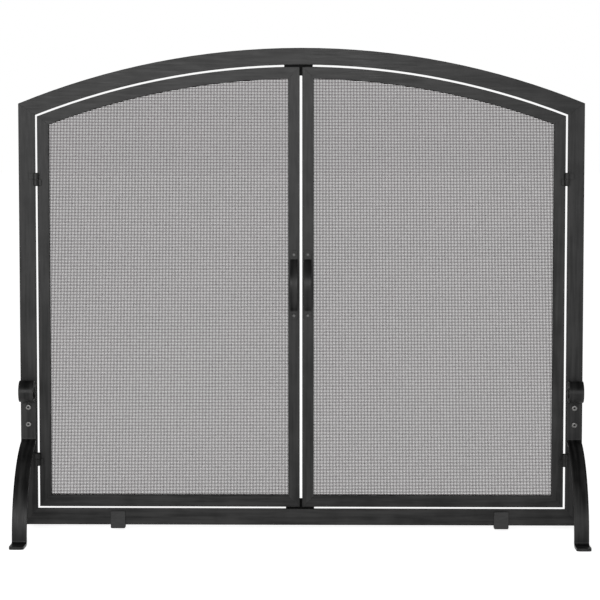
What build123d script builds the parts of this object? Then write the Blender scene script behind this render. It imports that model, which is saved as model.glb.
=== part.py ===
from build123d import *
import math
import os

# A free-standing fireplace screen: an arched flat-bar frame on four bent-bar legs, with two
# mesh doors that swing out towards the room. Millimetres, +Z up, the front faces -Y, +X is the
# viewer's right. The origin is on the floor, midway between the legs.

# ---- Driving dimensions ----
FRAME_WIDTH = 990.0
TOTAL_HEIGHT = 854.6
SHOULDER_HEIGHT = 758.1  # where the arch springs from the stiles
RAIL_LIFT = 15.2  # clear height under the bottom rail
FRAME_BAR = 29.0  # width of the frame's flat bar, seen from the front
DOOR_BAR = 20.6  # width of the doors' flat bar
BAR_DEPTH = 6.4  # thickness of both flat bars
ARRIS = 0.6  # bevel along the bars' long edges
ARCH_REACH = 30.0  # degrees of arch made on each side of the top, before mitring

SIDE_GAP = 3.8  # frame to door at the stiles
TOP_GAP = 3.7
BOTTOM_GAP = 3.6
CENTRE_GAP = 4.4
DOOR_SET_FORWARD = 0.4  # keeps the closed doors clear of the stop plates

WIRE_CLOTH_DEPTH = 2.0  # over the hem, which is what the strips clamp
SHEET_DEPTH = 0.3  # the same metal as the woven wires, spread into a sheet
CLOTH_LAP = 5.0  # how far the wire cloth runs behind the door bars
STRIP_DEPTH = 2.0

LEG_BAR = 25.4
LEG_THICKNESS = 4.8
TOE_LENGTH = 33.0
TOE_CORNER = 6.0
LEG_INNER_BEND = 4.0
LEG_RADIUS = 160.5  # of the bar's middle line
LEG_SWEEP = 73.8
LEG_SLOPE = 163.3  # heading of the leg where it reaches the stile, from forward level
SCROLL_RADIUS = 21.0  # outside radius where the scroll leaves the stile
SCROLL_SHRINK = 1.5  # lost from the radius in each quarter turn
SCROLL_QUARTERS = 6
SCROLL_TOP = 273.5
REAR_LEG_RADIUS = 179.0
REAR_LEG_SWEEP = 35.0
REAR_LEG_SLOPE = 180.0  # level, so that the low arch stays behind the bottom rail
REAR_LEG_TOP = 243.0

SCREW_HEIGHTS = (194.7, 224.7)
SCREW_RADIUS = 3.0
SCREW_HOLE_RADIUS = 3.3
SCREW_HEAD_RADIUS = 5.25
SCREW_HEAD_HEIGHT = 3.3
SCREW_HEAD_ROUNDING = 2.4
SOCKET_ACROSS_FLATS = 4.0
SOCKET_DEPTH = 2.2
NUT_ACROSS_FLATS = 10.0
NUT_HEIGHT = 5.0

HINGE_HEIGHTS = {"upper": 625.8, "lower": 132.5}
KNUCKLE_RADIUS = 5.0
KNUCKLE_HEIGHT = 10.0
KNUCKLE_GAP = 0.6
PIN_RADIUS = 2.5
PIN_CLEARANCE = 0.08
PIN_HEAD_RADIUS = 3.8
PIN_HEAD_HEIGHT = 1.2
PIN_SHOULDER_GAP = 0.3  # under the door knuckle
AXIS_FORWARD = 5.3  # hinge axis in front of the frame's front face
FRAME_LEAF_REACH = 12.5
DOOR_LEAF_REACH = 9.0
LEAF_DEPTH = 3.6

STOP_PLATE_WIDTH = 50.0
TOP_STOP_CENTRE = -4.4
BOTTOM_STOP_CENTRE = -1.7
STOP_PLATE_DEPTH = 3.0
STOP_PLATE_LAP = 15.0
TOP_STOP_REACH = 18.8
BOTTOM_STOP_REACH = 17.7

GLIDE_WIDTH = 26.0
GLIDE_WALL = 2.5
GLIDE_SOLE = 6.4
GLIDE_HEIGHT = 24.5  # up the rail's faces
GLIDE_CORNER = 2.5
GLIDE_CENTRES = {"left": -323.9, "right": 353.8}

HANDLE_WIDTH = 12.7
HANDLE_THICKNESS = 3.0
HANDLE_CENTRE = 12.2  # from the middle of the screen
HANDLE_TOP = 501.0
HANDLE_BOTTOM = 380.0
HANDLE_TAB = 14.0
HANDLE_RISE = 58.0  # angle at which the bow leaves the door
HANDLE_BEND = 4.0
HANDLE_CORNER = 4.0
RIVET_RADIUS = 1.75
RIVET_HEAD_RADIUS = 3.1
RIVET_HEAD_HEIGHT = 1.8

# ---- Places worked out from them ----
FRONT = -BAR_DEPTH / 2
BACK = BAR_DEPTH / 2
DOOR_FRONT = FRONT - DOOR_SET_FORWARD
DOOR_BACK = BACK - DOOR_SET_FORWARD
FRAME_HALF = FRAME_WIDTH / 2
FRAME_INNER = FRAME_HALF - FRAME_BAR
ARCH_RISE = TOTAL_HEIGHT - SHOULDER_HEIGHT
ARCH_RADIUS = (FRAME_HALF**2 + ARCH_RISE**2) / (2 * ARCH_RISE)
ARCH_CENTRE = TOTAL_HEIGHT - ARCH_RADIUS
DOOR_RADIUS = ARCH_RADIUS - FRAME_BAR - TOP_GAP
DOOR_OUTER = FRAME_INNER - SIDE_GAP
DOOR_INNER = CENTRE_GAP / 2
DOOR_BOTTOM = RAIL_LIFT + FRAME_BAR + BOTTOM_GAP
CLOTH_BACK = DOOR_BACK + WIRE_CLOTH_DEPTH
HINGE_X = (FRAME_INNER + DOOR_OUTER) / 2
HINGE_Y = FRONT - AXIS_FORWARD
LEG_CENTRE = FRAME_HALF - FRAME_BAR / 2


def arch_height(radius, x):
    """Height of a circle about the arch's centre, at a distance x from the middle."""
    return ARCH_CENTRE + math.sqrt(radius**2 - x**2)


def slab(outline, front, back):
    """A face drawn in X and Z, made solid between two Y values."""
    return extrude(Plane.XZ.offset(-back) * outline, back - front)


def outline(*corners):
    return make_face(Polyline(*corners, close=True))


def arched_panel(x_low, x_high, z_low, radius):
    """A face with three straight sides and a top that follows the arch."""
    z_high = ARCH_CENTRE + radius
    centre = Pos((x_low + x_high) / 2, (z_low + z_high) / 2)
    return centre * Rectangle(x_high - x_low, z_high - z_low) & Pos(0, ARCH_CENTRE) * Circle(radius)


# ---- Flat bars ----
def bar_section(width):
    return chamfer(Rectangle(width, BAR_DEPTH).vertices(), ARRIS)


def upright(width, x):
    """A full-height bar standing at x, before its ends are mitred."""
    return extrude(Pos(x, 0) * bar_section(width), TOTAL_HEIGHT)


def level(width, z):
    """A bar lying across the whole width at height z, before its ends are mitred."""
    across = Plane(origin=(-FRAME_HALF, 0, z), x_dir=(0, 0, 1), z_dir=(1, 0, 0))
    return extrude(across * bar_section(width), FRAME_WIDTH)


def arched(width, outer_radius):
    """A bar bent about the arch's centre, before its ends are mitred."""
    spin = Axis((0, 0, ARCH_CENTRE), (0, -1, 0))
    at_the_side = Pos(outer_radius - width / 2, 0, ARCH_CENTRE) * bar_section(width)
    return revolve(at_the_side.rotate(spin, 90 - ARCH_REACH), spin, 2 * ARCH_REACH)


def mitred(bar, *corners):
    """Cuts a bar to the outline that its mitred ends give it."""
    return bar & slab(outline(*corners), 2 * FRONT, 2 * BACK)


def past(corner, other):
    """A point on the line between two corners, as far outside the first as they are apart."""
    return 2 * corner[0] - other[0], 2 * corner[1] - other[1]


def mitred_arch(bar, outer_low, inner_low, inner_high, outer_high):
    """Cuts an arched bar along the mitre at each of its ends, given from left to right."""
    roof = TOTAL_HEIGHT + FRAME_BAR
    return mitred(
        bar,
        past(outer_low, inner_low),
        past(inner_low, outer_low),
        past(inner_high, outer_high),
        past(outer_high, inner_high),
        (past(outer_high, inner_high)[0], roof),
        (past(outer_low, inner_low)[0], roof),
    )


def frame_bars():
    low, high = RAIL_LIFT, RAIL_LIFT + FRAME_BAR
    inner_radius = ARCH_RADIUS - FRAME_BAR
    shoulder = arch_height(inner_radius, FRAME_INNER)
    rail = mitred(
        level(FRAME_BAR, (low + high) / 2),
        (-FRAME_HALF, low),
        (FRAME_HALF, low),
        (FRAME_INNER, high),
        (-FRAME_INNER, high),
    )
    arch = mitred_arch(
        arched(FRAME_BAR, ARCH_RADIUS),
        (-FRAME_HALF, SHOULDER_HEIGHT),
        (-FRAME_INNER, shoulder),
        (FRAME_INNER, shoulder),
        (FRAME_HALF, SHOULDER_HEIGHT),
    )
    stile = mitred(
        upright(FRAME_BAR, LEG_CENTRE),
        (FRAME_HALF, low),
        (FRAME_INNER, high),
        (FRAME_INNER, shoulder),
        (FRAME_HALF, SHOULDER_HEIGHT),
    )
    for height in SCREW_HEIGHTS:
        stile -= leg_screw_bore(height)
    return rail, arch, stile


def door_bars():
    """The right-hand door's hinge stile, meeting stile, top rail and bottom rail."""
    low, high = DOOR_BOTTOM, DOOR_BOTTOM + DOOR_BAR
    near, near_inside = DOOR_INNER, DOOR_INNER + DOOR_BAR
    far, far_inside = DOOR_OUTER, DOOR_OUTER - DOOR_BAR
    inner_radius = DOOR_RADIUS - DOOR_BAR
    near_top, near_shoulder = arch_height(DOOR_RADIUS, near), arch_height(inner_radius, near_inside)
    far_top, far_shoulder = arch_height(DOOR_RADIUS, far), arch_height(inner_radius, far_inside)
    hinge_stile = mitred(
        upright(DOOR_BAR, (far + far_inside) / 2),
        (far, low),
        (far_inside, high),
        (far_inside, far_shoulder),
        (far, far_top),
    )
    meeting_stile = mitred(
        upright(DOOR_BAR, (near + near_inside) / 2),
        (near, low),
        (near_inside, high),
        (near_inside, near_shoulder),
        (near, near_top),
    )
    top_rail = mitred_arch(
        arched(DOOR_BAR, DOOR_RADIUS),
        (near, near_top),
        (near_inside, near_shoulder),
        (far_inside, far_shoulder),
        (far, far_top),
    )
    bottom_rail = mitred(
        level(DOOR_BAR, (low + high) / 2),
        (near, low),
        (near_inside, high),
        (far_inside, high),
        (far, low),
    )
    for height in rivet_heights():
        meeting_stile -= Pos(0, DOOR_SET_FORWARD, 0) * handle_rivet_bore(height)
    moved = Pos(0, -DOOR_SET_FORWARD, 0)
    return [moved * bar for bar in (hinge_stile, meeting_stile, top_rail, bottom_rail)]


# ---- Bent bars ----
def turned(point, centre, degrees):
    angle = math.radians(degrees)
    dx, dy = point[0] - centre[0], point[1] - centre[1]
    x = centre[0] + dx * math.cos(angle) - dy * math.sin(angle)
    y = centre[1] + dx * math.sin(angle) + dy * math.cos(angle)
    return x, y


def beside(point, heading, distance):
    """The point that lies a distance to the left of a point, seen along the heading."""
    across = math.radians(heading + 90)
    return point[0] + distance * math.cos(across), point[1] + distance * math.sin(across)


def bent_bar(start, heading, steps, thickness):
    """The edge-on face of a bent flat bar, and where its middle line ends.

    A step (length, 0) is a straight run, and a step (radius, degrees) is a bend of the middle
    line, to the left when degrees is positive.
    """
    here = start
    sides = {thickness / 2: [], -thickness / 2: []}
    caps = [Line(beside(here, heading, -thickness / 2), beside(here, heading, thickness / 2))]
    for size, degrees in steps:
        if degrees == 0:
            ahead = math.radians(heading)
            there = here[0] + size * math.cos(ahead), here[1] + size * math.sin(ahead)
            for offset, edges in sides.items():
                edges.append(Line(beside(here, heading, offset), beside(there, heading, offset)))
        else:
            centre = beside(here, heading, math.copysign(size, degrees))
            there = turned(here, centre, degrees)
            for offset, edges in sides.items():
                first = beside(here, heading, offset)
                middle = turned(first, centre, degrees / 2)
                edges.append(ThreePointArc(first, middle, turned(first, centre, degrees)))
        here = there
        heading += degrees
    caps.append(Line(beside(here, heading, -thickness / 2), beside(here, heading, thickness / 2)))
    edges = [edge for side in sides.values() for edge in side]
    return make_face(edges + caps), here


def leg_steps(toe, radius, sweep, slope):
    """From the toe's tip, back along the floor, up the arched leg and onto the stile."""
    inner_bend = LEG_INNER_BEND + LEG_THICKNESS / 2
    return [(toe, 0), (inner_bend, slope - sweep - 180), (radius, sweep), (inner_bend, 90 - slope)]


def front_leg_steps():
    return leg_steps(TOE_LENGTH, LEG_RADIUS, LEG_SWEEP, LEG_SLOPE)


def rear_leg_steps():
    """A lower arch, with the toe that brings its tip as far out as the front leg's."""
    arch = REAR_LEG_RADIUS, REAR_LEG_SWEEP, REAR_LEG_SLOPE
    toe = foot_reach(front_leg_steps()) - foot_reach(leg_steps(0, *arch))
    return leg_steps(toe, *arch)


def foot_reach(steps):
    """How far the middle line runs back from the toe's tip to the stile."""
    reach, heading = 0, 180
    for size, degrees in steps:
        before, after = math.radians(heading), math.radians(heading + degrees)
        if degrees == 0:
            reach -= size * math.cos(before)
        else:
            reach -= math.copysign(size, degrees) * (math.sin(after) - math.sin(before))
        heading += degrees
    return reach


def leg_profile(lower_steps, top, steps_above):
    """A leg's edge-on face, drawn with X away from the frame and Y up."""
    half = LEG_THICKNESS / 2
    start = (half + foot_reach(lower_steps), half)
    _, foot = bent_bar(start, 180, lower_steps, LEG_THICKNESS)
    steps = lower_steps + [(top - foot[1], 0)] + steps_above
    return bent_bar(start, 180, steps, LEG_THICKNESS)[0]


def standing(profile, width, face, forward):
    """Gives a leg or handle profile its width about X = 0, going out from the plane Y = face."""
    side = Plane(origin=(0, face, 0), x_dir=(0, forward, 0), z_dir=(forward, 0, 0))
    return extrude(side * profile, width / 2, both=True)


def rounded_tip(bar, forward):
    """Rounds the two upright corners at the tip of a toe."""
    upright_edges = bar.edges().filter_by(Axis.Z).filter_by(lambda e: e.center().Z < LEG_THICKNESS)
    tip = upright_edges.sort_by(Axis.Y)[-2:] if forward > 0 else upright_edges.sort_by(Axis.Y)[:2]
    return fillet(tip, TOE_CORNER)


def leg_screw_bore(height):
    length = BAR_DEPTH + 4 * LEG_THICKNESS
    return Pos(LEG_CENTRE, 0, height) * Rot(90, 0, 0) * Cylinder(SCREW_HOLE_RADIUS, length)


def front_leg():
    mid_radii = [
        SCROLL_RADIUS - LEG_THICKNESS / 2 - SCROLL_SHRINK * quarter
        for quarter in range(SCROLL_QUARTERS)
    ]
    scroll = [(radius, -90) for radius in mid_radii]
    profile = leg_profile(front_leg_steps(), SCROLL_TOP - SCROLL_RADIUS, scroll)
    return bored_leg(rounded_tip(standing(profile, LEG_BAR, FRONT, -1), -1))


def rear_leg():
    profile = leg_profile(rear_leg_steps(), REAR_LEG_TOP, [])
    leg = rounded_tip(standing(profile, LEG_BAR, BACK, 1), 1)
    top_edges = leg.edges().filter_by(Axis.Y).sort_by(Axis.Z)[-2:]
    return bored_leg(fillet(top_edges, TOE_CORNER))


def bored_leg(leg):
    leg = Pos(LEG_CENTRE, 0, 0) * leg
    for height in SCREW_HEIGHTS:
        leg -= leg_screw_bore(height)
    return leg


# ---- Fasteners ----
def leg_screw(height):
    """A button-head screw with a hexagon socket, from the front leg through to the nut."""
    head_seat = FRONT - LEG_THICKNESS
    shank_length = BAR_DEPTH + 2 * LEG_THICKNESS + NUT_HEIGHT + 1.5
    head = Pos(0, 0, SCREW_HEAD_HEIGHT / 2) * Cylinder(SCREW_HEAD_RADIUS, SCREW_HEAD_HEIGHT)
    head = fillet(head.edges().sort_by(Axis.Z)[-1:], SCREW_HEAD_ROUNDING)
    hexagon = RegularPolygon(SOCKET_ACROSS_FLATS / 2, 6, major_radius=False)
    head -= Pos(0, 0, SCREW_HEAD_HEIGHT - SOCKET_DEPTH) * extrude(hexagon, 2 * SOCKET_DEPTH)
    screw = head + Pos(0, 0, -shank_length / 2) * Cylinder(SCREW_RADIUS, shank_length)
    return Pos(LEG_CENTRE, head_seat, height) * Rot(90, 0, 0) * screw


def leg_nut(height):
    nut = extrude(RegularPolygon(NUT_ACROSS_FLATS / 2, 6, major_radius=False), NUT_HEIGHT)
    nut -= Pos(0, 0, NUT_HEIGHT / 2) * Cylinder(SCREW_RADIUS, 2 * NUT_HEIGHT)
    return Pos(LEG_CENTRE, BACK + LEG_THICKNESS, height) * Rot(-90, 0, 0) * nut


def rivet_heights():
    return HANDLE_TOP - HANDLE_TAB / 2, HANDLE_BOTTOM + HANDLE_TAB / 2


def handle_rivet_bore(height):
    length = 6 * BAR_DEPTH
    return Pos(HANDLE_CENTRE, 0, height) * Rot(90, 0, 0) * Cylinder(RIVET_RADIUS, length)


def handle_rivet(height):
    """A round-head rivet through the handle's tab and the meeting stile."""
    grip = HANDLE_THICKNESS + BAR_DEPTH
    tail_height = RIVET_HEAD_HEIGHT / 2
    head = Pos(0, 0, RIVET_HEAD_HEIGHT / 2) * Cylinder(RIVET_HEAD_RADIUS, RIVET_HEAD_HEIGHT)
    head = fillet(head.edges().sort_by(Axis.Z)[-1:], RIVET_HEAD_HEIGHT * 0.8)
    shank = Pos(0, 0, -grip / 2) * Cylinder(RIVET_RADIUS, grip)
    tail = Pos(0, 0, -grip - tail_height / 2) * Cylinder(RIVET_HEAD_RADIUS, tail_height)
    rivet = head + shank + tail
    return Pos(HANDLE_CENTRE, DOOR_FRONT - HANDLE_THICKNESS, height) * Rot(90, 0, 0) * rivet


# ---- Handle ----
def handle():
    """A strap bowed out from the meeting stile, with a flat tab at each end."""
    bend = (HANDLE_BEND, HANDLE_RISE)
    rise = math.sin(math.radians(HANDLE_RISE))
    bow_height = HANDLE_TOP - HANDLE_BOTTOM - 2 * (HANDLE_TAB + HANDLE_BEND * rise)
    bow = (bow_height / (2 * rise), -2 * HANDLE_RISE)
    steps = [(HANDLE_TAB, 0), bend, bow, bend, (HANDLE_TAB, 0)]
    profile, _ = bent_bar((HANDLE_THICKNESS / 2, HANDLE_TOP), -90, steps, HANDLE_THICKNESS)
    strap = standing(profile, HANDLE_WIDTH, DOOR_FRONT, -1)
    ends = strap.edges().filter_by(Axis.Y).sort_by(Axis.Z)
    strap = fillet(ends[:2] + ends[-2:], HANDLE_CORNER)
    strap = Pos(HANDLE_CENTRE, 0, 0) * strap
    for height in rivet_heights():
        strap -= handle_rivet_bore(height)
    return strap


# ---- Hinges ----
def knuckle(bottom, bore, leaf_reach, side, face):
    """A barrel about the hinge axis with a leaf that lies on the bar's front face."""
    middle = bottom + KNUCKLE_HEIGHT / 2
    barrel = Pos(HINGE_X, HINGE_Y, middle) * Cylinder(KNUCKLE_RADIUS, KNUCKLE_HEIGHT)
    leaf = Pos(HINGE_X + side * leaf_reach / 2, face - LEAF_DEPTH / 2, middle)
    leaf *= Box(leaf_reach, LEAF_DEPTH, KNUCKLE_HEIGHT)
    hole = Pos(HINGE_X, HINGE_Y, middle) * Cylinder(bore, 2 * KNUCKLE_HEIGHT)
    return barrel + leaf - hole


def frame_knuckle(height):
    return knuckle(height + KNUCKLE_GAP / 2, PIN_RADIUS, FRAME_LEAF_REACH, 1, FRONT)


def door_knuckle(height):
    bottom = height - KNUCKLE_GAP / 2 - KNUCKLE_HEIGHT
    return knuckle(bottom, PIN_RADIUS + PIN_CLEARANCE, DOOR_LEAF_REACH, -1, DOOR_FRONT)


def hinge_pin(height):
    """A pin fast in the frame's knuckle, headed at both ends so that it carries the door."""
    top = height + KNUCKLE_GAP / 2 + KNUCKLE_HEIGHT
    bottom = height - KNUCKLE_GAP / 2 - KNUCKLE_HEIGHT - PIN_SHOULDER_GAP
    pin = Pos(0, 0, (top + bottom) / 2) * Cylinder(PIN_RADIUS, top - bottom)
    head = Cylinder(PIN_HEAD_RADIUS, PIN_HEAD_HEIGHT)
    head = fillet(head.edges().filter_by(GeomType.CIRCLE), 0.4)
    pin += Pos(0, 0, top + PIN_HEAD_HEIGHT / 2) * head
    pin += Pos(0, 0, bottom - PIN_HEAD_HEIGHT / 2) * head
    return Pos(HINGE_X, HINGE_Y, 0) * pin


# ---- Wire cloth and the strips that clamp it ----
def cloth_limits():
    """The wire cloth's edges on the right-hand door: near, far, bottom and top radius."""
    near = DOOR_INNER + DOOR_BAR - CLOTH_LAP
    far = DOOR_OUTER - DOOR_BAR + CLOTH_LAP
    low = DOOR_BOTTOM + DOOR_BAR - CLOTH_LAP
    return near, far, low, DOOR_RADIUS - DOOR_BAR + CLOTH_LAP


def wire_cloth():
    """A sheet in place of the weave, with a hem of the weave's full depth in the clamped edge."""
    middle = (DOOR_BACK + CLOTH_BACK) / 2
    near, far, low, radius = cloth_limits()
    whole = slab(arched_panel(near, far, low, radius), DOOR_BACK, CLOTH_BACK)
    open_area = arched_panel(near + CLOTH_LAP, far - CLOTH_LAP, low + CLOTH_LAP, radius - CLOTH_LAP)
    hem = whole - slab(open_area, DOOR_BACK, CLOTH_BACK)
    return hem + slab(open_area, middle - SHEET_DEPTH / 2, middle + SHEET_DEPTH / 2)


def clamp_strips():
    """Strips behind the hinge stile, meeting stile, top rail and bottom rail."""
    near, far, low, radius = cloth_limits()
    inside = (near + CLOTH_LAP, far - CLOTH_LAP, low + CLOTH_LAP, radius - CLOTH_LAP)
    band = slab(arched_panel(near, far, low, radius), CLOTH_BACK, CLOTH_BACK + STRIP_DEPTH)
    band -= slab(arched_panel(*inside), CLOTH_BACK, CLOTH_BACK + STRIP_DEPTH)
    reach = (0, TOTAL_HEIGHT)
    hinge_zone = slab(box_outline(inside[1], far, *reach), CLOTH_BACK, CLOTH_BACK + STRIP_DEPTH)
    meeting_zone = slab(box_outline(near, inside[0], *reach), CLOTH_BACK, CLOTH_BACK + STRIP_DEPTH)
    between = box_outline(inside[0], inside[1], low, inside[2])
    bottom_zone = slab(between, CLOTH_BACK, CLOTH_BACK + STRIP_DEPTH)
    top_strip = band - hinge_zone - meeting_zone - bottom_zone
    return band & hinge_zone, band & meeting_zone, top_strip, band & bottom_zone


def box_outline(x_low, x_high, z_low, z_high):
    return outline((x_low, z_low), (x_high, z_low), (x_high, z_high), (x_low, z_high))


# ---- Stop plates and glides ----
def stop_plate(centre, low, high):
    """A plate welded behind a rail, for both meeting stiles to close on."""
    left, right = centre - STOP_PLATE_WIDTH / 2, centre + STOP_PLATE_WIDTH / 2
    return slab(box_outline(left, right, low, high), BACK, BACK + STOP_PLATE_DEPTH)


def glide(x):
    """A moulded U that pushes on from below and pads the bottom rail."""
    height = GLIDE_SOLE + GLIDE_HEIGHT
    outer_depth = BAR_DEPTH + 2 * GLIDE_WALL
    middle = RAIL_LIFT - GLIDE_SOLE + height / 2
    block = Box(GLIDE_WIDTH, outer_depth, height)
    block = fillet(block.edges().filter_by(Axis.Y), GLIDE_CORNER)
    block = fillet(block.faces().sort_by(Axis.Y)[0].edges(), 1.0)
    block = fillet(block.faces().sort_by(Axis.Y)[-1].edges(), 1.0)
    slot = Pos(0, 0, GLIDE_SOLE) * Box(2 * GLIDE_WIDTH, BAR_DEPTH, height)
    return Pos(x, 0, middle) * (block - slot)


# ---- Assembly ----
def pair(name, right_side):
    """A part of the right-hand side and its mirror image on the left."""
    return {f"right_{name}": right_side, f"left_{name}": mirror(right_side, Plane.YZ)}


def assembly():
    rail, arch, stile = frame_bars()
    rail_top, arch_low = RAIL_LIFT + FRAME_BAR, TOTAL_HEIGHT - FRAME_BAR
    top_stop = stop_plate(TOP_STOP_CENTRE, arch_low - TOP_STOP_REACH, arch_low + STOP_PLATE_LAP)
    bottom_stop = stop_plate(
        BOTTOM_STOP_CENTRE, rail_top - STOP_PLATE_LAP, rail_top + BOTTOM_STOP_REACH
    )
    nodes = {
        "frame_bottom_rail": rail,
        "frame_arch_rail": arch,
        "top_stop_plate": top_stop,
        "bottom_stop_plate": bottom_stop,
    }
    nodes |= pair("frame_stile", stile)
    nodes |= pair("front_leg", front_leg())
    nodes |= pair("rear_leg", rear_leg())
    nodes |= pair("leg_screws", Compound(children=[leg_screw(z) for z in SCREW_HEIGHTS]))
    nodes |= pair("leg_nuts", Compound(children=[leg_nut(z) for z in SCREW_HEIGHTS]))
    for side, x in GLIDE_CENTRES.items():
        nodes[f"{side}_rail_glide"] = glide(x)
    for place, height in HINGE_HEIGHTS.items():
        nodes |= pair(f"{place}_frame_knuckle", frame_knuckle(height))
        nodes |= pair(f"{place}_door_knuckle", door_knuckle(height))
        nodes |= pair(f"{place}_hinge_pin", hinge_pin(height))
    for name, bar in zip(("hinge_stile", "meeting_stile", "top_rail", "bottom_rail"), door_bars()):
        nodes |= pair(f"door_{name}", bar)
    for name, strip in zip(("hinge", "meeting", "top", "bottom"), clamp_strips()):
        nodes |= pair(f"cloth_strip_{name}", strip)
    nodes |= pair("wire_cloth", wire_cloth())
    nodes |= pair("handle", handle())
    nodes |= pair("handle_rivets", Compound(children=[handle_rivet(z) for z in rivet_heights()]))
    return nodes


os.makedirs("parts", exist_ok=True)
for node, shape in assembly().items():
    export_step(shape, f"parts/{node}.step")
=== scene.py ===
"""The looks of the arched two-door fireplace screen: woven wire, paint, studio and camera."""

import math

import bpy
import numpy as np
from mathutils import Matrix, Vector


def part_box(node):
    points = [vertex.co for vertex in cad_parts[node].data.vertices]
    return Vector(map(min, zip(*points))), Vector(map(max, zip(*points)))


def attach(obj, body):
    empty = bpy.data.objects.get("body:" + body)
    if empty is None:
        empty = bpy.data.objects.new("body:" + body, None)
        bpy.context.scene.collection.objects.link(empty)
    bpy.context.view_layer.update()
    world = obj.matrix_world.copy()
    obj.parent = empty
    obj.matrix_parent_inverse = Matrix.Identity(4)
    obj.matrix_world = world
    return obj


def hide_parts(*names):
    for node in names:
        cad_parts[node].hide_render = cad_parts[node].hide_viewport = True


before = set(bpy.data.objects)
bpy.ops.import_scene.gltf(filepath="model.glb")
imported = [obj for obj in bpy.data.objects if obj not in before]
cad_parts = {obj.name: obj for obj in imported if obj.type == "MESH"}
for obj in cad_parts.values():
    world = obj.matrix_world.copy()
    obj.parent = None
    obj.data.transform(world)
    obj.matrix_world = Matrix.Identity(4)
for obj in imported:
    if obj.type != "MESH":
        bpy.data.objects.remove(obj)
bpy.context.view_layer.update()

# ---- Wire cloth, in metres ----
SHOULDER_HEIGHT = 0.7581  # outer corner of the frame, where the arch starts
WIRE_PITCH = 0.00258
WIRE_RADIUS = 0.000575
CRIMP = 0.8  # how far a wire swings to each side, in wire radii
WIRE_GROUPS = 3  # pieces that the wires running one way are shared between
WIRE_END = 0.0004  # kept back from the edge of the cloth
SHORTEST_WIRE = 4  # level wires near the top of the arch, in pitches

# ---- Paint ----
# Darkest grey, lightest grey and sheen.
BAR_PAINT = (0.002, 0.017, 0.19)
# Stop plates: near-black paint with almost no sheen. This is painted shade, standing in for the
# shadow they sit in behind the frame.
STOP_PLATE_PAINTED_SHADE = (0.001, 0.004, 0.03)
# Rivets: lighter and glossier than the bars. This is partly worn paint and partly a painted
# highlight standing in for their shine.
RIVET_WEAR_AND_HIGHLIGHT_PAINT = (0.012, 0.04, 0.6)
DARK_WIRE = (0.023, 0.012, 0.015, 1)
LIGHT_WIRE = (0.043, 0.025, 0.031, 1)
# Scale of the grain along each axis: a small number draws it out that way.
UPRIGHT_GRAIN = (1.0, 0.05, 0.05)
LEVEL_GRAIN = (0.05, 1.0, 1.0)
EVEN_GRAIN = (1.0, 1.0, 1.0)

# ---- Studio, in metres and watts ----
WALLS, CEILING = 1.0, 0.2  # brightness of the surroundings, level and overhead
WALL_TOP, CEILING_EDGE = 0.09, 0.4  # sines of the angles between which they blend
FLOOR_REACH = 400.0
FLOOR_GLOW = 0.8
LIGHT_PLACE = (-0.5, -4.3, 1.3)
LIGHT_TARGET = (0, 0, 0.4)
LIGHT_WIDTH, LIGHT_HEIGHT = 2.6, 0.8
LIGHT_POWER = 104

# ---- Camera, in metres, with the lens and sensor in millimetres ----
CAMERA_DISTANCE = 3.5  # from the frame's front face
CAMERA_HEIGHT = 0.6407
CAMERA_LENS = 119.8
CAMERA_SENSOR = 36
CAMERA_CLIP = (0.1, 1000)
CAMERA_PITCH = 3.702  # degrees below level
CAMERA_AZIMUTH = 0.85  # degrees round to the right of the screen's middle
CAMERA_ASIDE = 0.027  # degrees that the camera aims to the left of the middle


# ---- Meshes ----
def link(name, data):
    item = bpy.data.objects.new(name, data)
    bpy.context.scene.collection.objects.link(item)
    return item


def mesh_piece(name, points, quads, smooth=True):
    mesh = bpy.data.meshes.new(name)
    points = np.asarray(points, np.float32)
    quads = np.asarray(quads, np.int32)
    mesh.vertices.add(len(points))
    mesh.vertices.foreach_set("co", points.ravel())
    mesh.loops.add(quads.size)
    mesh.loops.foreach_set("vertex_index", quads.ravel())
    mesh.polygons.add(len(quads))
    mesh.polygons.foreach_set("loop_start", np.arange(0, quads.size, 4, dtype=np.int32))
    mesh.update(calc_edges=True)
    if smooth:
        mesh.shade_smooth()
    return link(name, mesh)


def wire(path, across):
    """A closed four-sided tube along a path, with its corners to the front, back and sides."""
    path = np.asarray(path, float)
    out = np.array((0.0, -1.0, 0.0))
    ring = np.array([out, across, -out, -np.asarray(across)]) * WIRE_RADIUS
    points = (path[:, None, :] + ring[None, :, :]).reshape(-1, 3)
    start = np.arange(len(path) - 1)[:, None] * 4
    corner = np.arange(4)[None, :]
    after = (corner + 1) % 4
    sides = np.stack((start + corner, start + after, start + 4 + after, start + 4 + corner), -1)
    last = (len(path) - 1) * 4
    caps = [[3, 2, 1, 0], [last, last + 1, last + 2, last + 3]]
    return points, np.concatenate((sides.reshape(-1, 4), caps))


def arch():
    """Height of the centre of the frame's arch."""
    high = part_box("frame_arch_rail")[1]
    rise = high.z - SHOULDER_HEIGHT
    return high.z - (high.x**2 + rise**2) / (2 * rise)


def evenly(low, high):
    """Places a pitch apart that fill a span, the same distance in from both ends."""
    count = int((high - low - 2 * WIRE_RADIUS) / WIRE_PITCH)
    first = (low + high - count * WIRE_PITCH) / 2
    return first + WIRE_PITCH * np.arange(count + 1)


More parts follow.
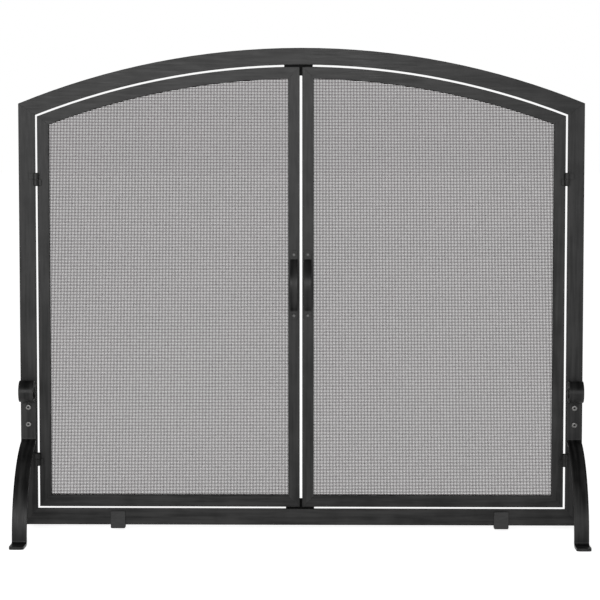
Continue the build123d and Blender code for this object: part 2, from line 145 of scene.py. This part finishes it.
def woven_door(side):
    """Plain-woven wires in place of a door's wire cloth, upright ones and level ones."""
    low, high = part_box(f"{side}_wire_cloth")
    centre = arch()
    facing = -1 if side == "left" else 1
    near, far = sorted((abs(low.x), abs(high.x)))
    radius = math.hypot(near, high.z - centre) - WIRE_END
    middle = (low.y + high.y) / 2
    swing = CRIMP * WIRE_RADIUS
    columns, rows = evenly(near, far), evenly(low.z, high.z)
    upright, level = [], []
    for i, x in enumerate(columns):
        top = centre + math.sqrt(radius**2 - x**2)
        path = [(facing * x, middle, low.z + WIRE_END)]
        for j, z in enumerate(rows):
            if z < top - WIRE_RADIUS:
                path.append((facing * x, middle + swing * (-1) ** (i + j), z))
        upright.append(wire(path + [(facing * x, middle, top)], (1, 0, 0)))
    for j, z in enumerate(rows):
        reach = far - WIRE_END
        if z - centre > math.sqrt(radius**2 - reach**2):
            reach = math.sqrt(max(radius**2 - (z - centre) ** 2, 0))
        if reach - near < SHORTEST_WIRE * WIRE_PITCH:
            continue
        path = [(facing * (near + WIRE_END), middle, z)]
        for i, x in enumerate(columns):
            if x < reach - WIRE_RADIUS:
                path.append((facing * x, middle - swing * (-1) ** (i + j), z))
        level.append(wire(path + [(facing * reach, middle, z)], (0, 0, facing)))
    made = []
    for way, wires in (("upright", upright), ("level", level)):
        cuts = [group * len(wires) // WIRE_GROUPS for group in range(WIRE_GROUPS + 1)]
        for group in range(WIRE_GROUPS):
            share = wires[cuts[group] : cuts[group + 1]]
            starts = np.cumsum([0] + [len(points) for points, _ in share])
            points = np.concatenate([points for points, _ in share])
            quads = np.concatenate([quads + start for (_, quads), start in zip(share, starts)])
            made.append(mesh_piece(f"{side}_{way}_wires_{group + 1}", points, quads))
    return made


# ---- Materials ----
class Finish:
    """A material and short ways to add nodes to it."""

    def __init__(self, name):
        self.material = bpy.data.materials.new(name)
        self.material.use_nodes = True
        self.tree = self.material.node_tree
        self.shader = self.tree.nodes["Principled BSDF"]

    def put(self, socket, value):
        if isinstance(value, bpy.types.NodeSocket):
            self.tree.links.new(value, socket)
        else:
            socket.default_value = value

    def node(self, kind, inputs, **settings):
        node = self.tree.nodes.new(kind)
        for key, value in settings.items():
            setattr(node, key, value)
        for key, value in inputs.items():
            self.put(node.inputs[key], value)
        return node

    def place(self, stretch=EVEN_GRAIN):
        """Position on the object, in metres, scaled along each axis by stretch."""
        here = self.node("ShaderNodeTexCoord", {}).outputs["Object"]
        return self.node("ShaderNodeMapping", {"Vector": here, "Scale": stretch}).outputs[0]

    def noise(self, place, scale, detail=3.0, roughness=0.55):
        inputs = {"Vector": place, "Scale": scale, "Detail": detail, "Roughness": roughness}
        return self.node("ShaderNodeTexNoise", inputs).outputs["Fac"]

    def span(self, value, low, high, to_low=0.0, to_high=1.0):
        inputs = {0: value, 1: low, 2: high, 3: to_low, 4: to_high}
        return self.node("ShaderNodeMapRange", inputs).outputs[0]

    def math(self, operation, a, b):
        return self.node("ShaderNodeMath", {0: a, 1: b}, operation=operation).outputs[0]

    def blend(self, a, b, share):
        """That share of a, and the rest of b."""
        rest = self.math("MULTIPLY", b, 1 - share)
        return self.math("ADD", self.math("MULTIPLY", a, share), rest)

    def mix(self, amount, a, b):
        return self.node("ShaderNodeMix", {0: amount, 6: a, 7: b}, data_type="RGBA").outputs[2]

    def bump(self, height, normal, strength, distance):
        inputs = {"Strength": strength, "Distance": distance, "Height": height, "Normal": normal}
        return self.node("ShaderNodeBump", inputs).outputs[0]

    def worn_edges(self, radius):
        """How worn each spot is, from open faces (0) to sharp edges (1), and the eased normal."""
        soft = self.node("ShaderNodeBevel", {"Radius": radius}, samples=4).outputs[0]
        hard = self.node("ShaderNodeNewGeometry", {}).outputs["Normal"]
        both = {0: soft, 1: hard}
        dot = self.node("ShaderNodeVectorMath", both, operation="DOT_PRODUCT").outputs["Value"]
        edge = self.span(dot, low=0.995, high=0.86)
        patches = self.span(self.noise(self.place(), scale=90.0), 0.42, 0.62, to_low=0.15)
        return self.math("MULTIPLY", edge, patches), soft

    def set(self, **inputs):
        for key, value in inputs.items():
            self.put(self.shader.inputs[key.replace("_", " ")], value)


def grey(level, warmth=0.0):
    return level * (1 + warmth), level, level * (1 - warmth), 1


def painted_steel(name, stretch, dark, light, sheen):
    """Satin black paint with a drawn grain along the bar, rubbed thin on the edges."""
    finish = Finish(name)
    grain = finish.noise(finish.place(stretch), scale=420.0, detail=4.0, roughness=0.6)
    streaks = finish.noise(finish.place(stretch), scale=150.0, detail=4.0, roughness=0.6)
    clouds = finish.noise(finish.place(), scale=22.0)
    peel = finish.noise(finish.place(), scale=1300.0, detail=2.0)
    worn, soft = finish.worn_edges(radius=0.0009)
    tone = finish.span(finish.blend(streaks, clouds, share=0.7), 0.4, 0.6)
    colour = finish.mix(tone, grey(dark), grey(light, warmth=0.01))
    worn_tone = grey(0.07, warmth=0.04)
    finish.set(
        Base_Color=finish.mix(finish.math("MULTIPLY", worn, 0.5), colour, worn_tone),
        Roughness=finish.span(finish.math("ADD", grain, streaks), 0.75, 1.25, 0.36, 0.5),
        Specular_IOR_Level=sheen,
        Normal=finish.bump(
            finish.blend(grain, peel, share=0.7), soft, strength=0.35, distance=0.00012
        ),
    )
    return finish.material


def painted_wire():
    """The same paint on fine wire, a little warmer, with thin patches on the crowns."""
    finish = Finish("painted_wire")
    patches = finish.noise(finish.place(), scale=260.0, detail=2.0)
    clouds = finish.noise(finish.place(), scale=9.0, detail=2.0)
    tone = finish.span(finish.blend(patches, clouds, share=0.5), 0.35, 0.65)
    finish.set(
        Base_Color=finish.mix(tone, DARK_WIRE, LIGHT_WIRE),
        Roughness=finish.span(patches, 0.3, 0.7, 0.42, 0.58),
        Specular_IOR_Level=0.3,
    )
    return finish.material


def plated_steel():
    """Zinc-plated screws and nuts, dulled in patches, with painted shade darkening the recesses.
    """
    finish = Finish("plated_steel")
    stain = finish.noise(finish.place(), scale=420.0, detail=4.0)
    scratches = finish.noise(finish.place((1, 1, 9)), scale=900.0, detail=2.0)
    worn, soft = finish.worn_edges(radius=0.0004)
    patchy = finish.span(stain, 0.35, 0.65)
    colour = finish.mix(patchy, grey(0.09, warmth=0.03), grey(0.19, warmth=0.01))
    # Painted shade: ambient occlusion darkens the colour in the sockets and other recesses, where
    # shadow would fall.
    recess_painted_shade = finish.node("ShaderNodeAmbientOcclusion", {"Distance": 0.004}, samples=8).outputs["AO"]
    colour = finish.mix(finish.span(recess_painted_shade, 0.45, 0.8), grey(0.004), colour)
    finish.set(
        Base_Color=finish.mix(worn, colour, grey(0.22)),
        Roughness=finish.span(stain, 0.3, 0.7, 0.3, 0.5),
        Metallic=0.8,
        Normal=finish.bump(scratches, soft, strength=0.3, distance=0.00005),
    )
    return finish.material


def moulded_plastic():
    """Matt black plastic with a fine moulded texture."""
    finish = Finish("moulded_plastic")
    texture = finish.noise(finish.place(), scale=1500.0)
    scuffs = finish.noise(finish.place((1, 1, 4)), scale=120.0, detail=4.0)
    worn, soft = finish.worn_edges(radius=0.0006)
    colour = finish.mix(finish.span(scuffs, 0.35, 0.65), grey(0.010), grey(0.022))
    finish.set(
        Base_Color=finish.mix(finish.math("MULTIPLY", worn, 0.4), colour, grey(0.05)),
        Roughness=finish.span(scuffs, 0.3, 0.7, 0.5, 0.66),
        Specular_IOR_Level=0.3,
        Normal=finish.bump(texture, soft, strength=0.4, distance=0.0001),
    )
    return finish.material


def pale_floor():
    """Matt and very nearly white, with a glow of its own."""
    finish = Finish("pale_floor")
    finish.set(
        Base_Color=finish.mix(finish.noise(finish.place(), scale=3.0), grey(0.93), grey(0.95)),
        Roughness=0.9,
        Specular_IOR_Level=0.0,
        Emission_Color=(1, 1, 1, 1),
        Emission_Strength=FLOOR_GLOW,
    )
    return finish.material


# ---- Studio ----
def surroundings():
    """Bright walls all round that blend into a dim ceiling."""
    world = bpy.data.worlds.new("studio")
    world.use_nodes = True
    nodes, links = world.node_tree.nodes, world.node_tree.links
    background = nodes["Background"].inputs
    background["Color"].default_value = (1, 1, 1, 1)
    direction = nodes.new("ShaderNodeTexCoord").outputs["Generated"]
    split = nodes.new("ShaderNodeSeparateXYZ")
    links.new(direction, split.inputs[0])
    fade = nodes.new("ShaderNodeMapRange")
    links.new(split.outputs["Z"], fade.inputs[0])
    for socket, value in zip(fade.inputs[1:5], (WALL_TOP, CEILING_EDGE, WALLS, CEILING)):
        socket.default_value = value
    links.new(fade.outputs[0], background["Strength"])
    bpy.context.scene.world = world


def front_light():
    data = bpy.data.lights.new("front", "AREA")
    data.shape = "RECTANGLE"
    data.size, data.size_y = LIGHT_WIDTH, LIGHT_HEIGHT
    data.energy = LIGHT_POWER
    lamp = link("front", data)
    lamp.location = LIGHT_PLACE
    lamp.visible_camera = False
    aim = Vector(LIGHT_TARGET) - Vector(LIGHT_PLACE)
    lamp.rotation_euler = aim.to_track_quat("-Z", "Y").to_euler()


def studio():
    surroundings()
    corners = np.array([(-1, -1, 0), (1, -1, 0), (1, 1, 0), (-1, 1, 0)]) * FLOOR_REACH
    floor = mesh_piece("floor", corners, [(0, 1, 2, 3)], smooth=False)
    floor.data.materials.append(pale_floor())
    front_light()
    bpy.context.scene.view_settings.view_transform = "Standard"


def camera():
    data = bpy.data.cameras.new("camera")
    data.lens = CAMERA_LENS
    data.sensor_width = CAMERA_SENSOR
    data.clip_start, data.clip_end = CAMERA_CLIP
    cam = link("camera", data)
    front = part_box("frame_bottom_rail")[0].y
    turn = math.radians(CAMERA_AZIMUTH)
    back = CAMERA_DISTANCE * math.cos(turn)
    cam.location = (CAMERA_DISTANCE * math.sin(turn), front - back, CAMERA_HEIGHT)
    tilt = math.radians(90 - CAMERA_PITCH)
    cam.rotation_euler = (tilt, 0, turn + math.radians(CAMERA_ASIDE))
    bpy.context.scene.camera = cam


camera()
studio()

upright_paint = painted_steel("paint_grained_upright", UPRIGHT_GRAIN, *BAR_PAINT)
level_paint = painted_steel("paint_grained_level", LEVEL_GRAIN, *BAR_PAINT)
# Painted shade: the stop plates' paint is darkened so that they look shaded behind the frame.
stop_plate_painted_shade = painted_steel("paint_darkened_as_painted_shade", LEVEL_GRAIN, *STOP_PLATE_PAINTED_SHADE)
# The rivets' lighter colour is partly worn paint and partly a painted highlight.
rivet_wear_and_highlight_paint = painted_steel("paint_on_rivets_worn_and_painted_highlight", EVEN_GRAIN, *RIVET_WEAR_AND_HIGHLIGHT_PAINT)
plated = plated_steel()
plastic = moulded_plastic()
wire_paint = painted_wire()
for name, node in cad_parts.items():
    if name.endswith(("_screws", "_nuts")):
        material = plated
    elif name.endswith("glide"):
        material = plastic
    elif name.endswith("_rivets"):
        material = rivet_wear_and_highlight_paint
    elif name.endswith("_stop_plate"):
        # painted shade on the stop plates
        material = stop_plate_painted_shade
    elif "rail" in name or name.endswith(("_top", "_bottom")):
        material = level_paint
    else:
        material = upright_paint
    for held in node.material_slots:
        held.material = material

for side in ("left", "right"):
    for piece in woven_door(side):
        piece.data.materials.append(wire_paint)
        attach(piece, f"{side}_door")
        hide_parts(f"{side}_wire_cloth")
